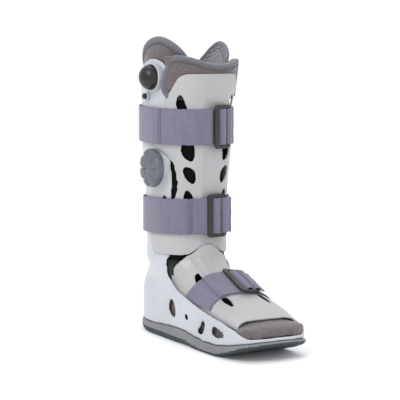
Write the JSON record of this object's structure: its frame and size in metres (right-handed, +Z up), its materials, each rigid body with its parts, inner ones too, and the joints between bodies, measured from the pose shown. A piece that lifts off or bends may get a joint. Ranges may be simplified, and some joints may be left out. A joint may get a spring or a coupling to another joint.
{
  "type": "medical walking boot",
  "caption": "Tall walking boot: a rigid plastic shell with a leg and a foot panel, a padded liner, three buckled straps, a hand pump bulb, a release valve and a selector dial.",
  "frame": {"origin": "on the floor, on the flat of the heel tread under the ankle, in the boot's middle plane", "axes": "+Z up along the leg, toes towards -Y, the pump and the dial on -X"},
  "size_m": [0.148, 0.3135, 0.4255],
  "materials": {
    "shell_plastic": "satin moulded plastic, white with a cool cast",
    "panel_plastic": "satin moulded plastic, off white",
    "sole_rubber": "matt grey rubber with tread bars",
    "air_cell": "matt black film",
    "felt": "brushed brown-grey pile with a bound edge",
    "strap_webbing": "brushed hook and loop webbing, purple-grey",
    "buckle_plastic": "dark brown moulded plastic",
    "black_rubber": "glossy black rubber",
    "dial_plastic": "satin grey plastic"
  },
  "bodies": {
    "boot": {"rear_shell": "shell_plastic", "front_panel": "panel_plastic", "foot_panel": "panel_plastic", "outsole": "sole_rubber", "front_air_cell": "air_cell", "liner_boot": "felt", "liner_tongue": "felt", "toe_cover": "felt", "strap_upper": "strap_webbing", "strap_lower": "strap_webbing", "strap_foot": "strap_webbing", "buckle_upper": "buckle_plastic", "buckle_lower": "buckle_plastic", "buckle_foot": "buckle_plastic", "bulb_seat": "shell_plastic", "inflation_bulb": "black_rubber", "valve_collar": "shell_plastic"},
    "dial": {"selector_dial": "dial_plastic"},
    "valve": {"release_valve": "black_rubber"}
  },
  "joints": [
    {"name": "dial_turn", "type": "hinge", "parent": "boot", "child": "dial", "pos_m": [-0.06, -0.0095, 0.2435], "axis": [-1, 0, 0], "range_deg": [-90, 90]},
    {"name": "valve_press", "type": "slide", "parent": "boot", "child": "valve", "axis": [1, 0, 0], "range_m": [0, 0.002], "stiffness_N_per_m": 300}
  ]
}
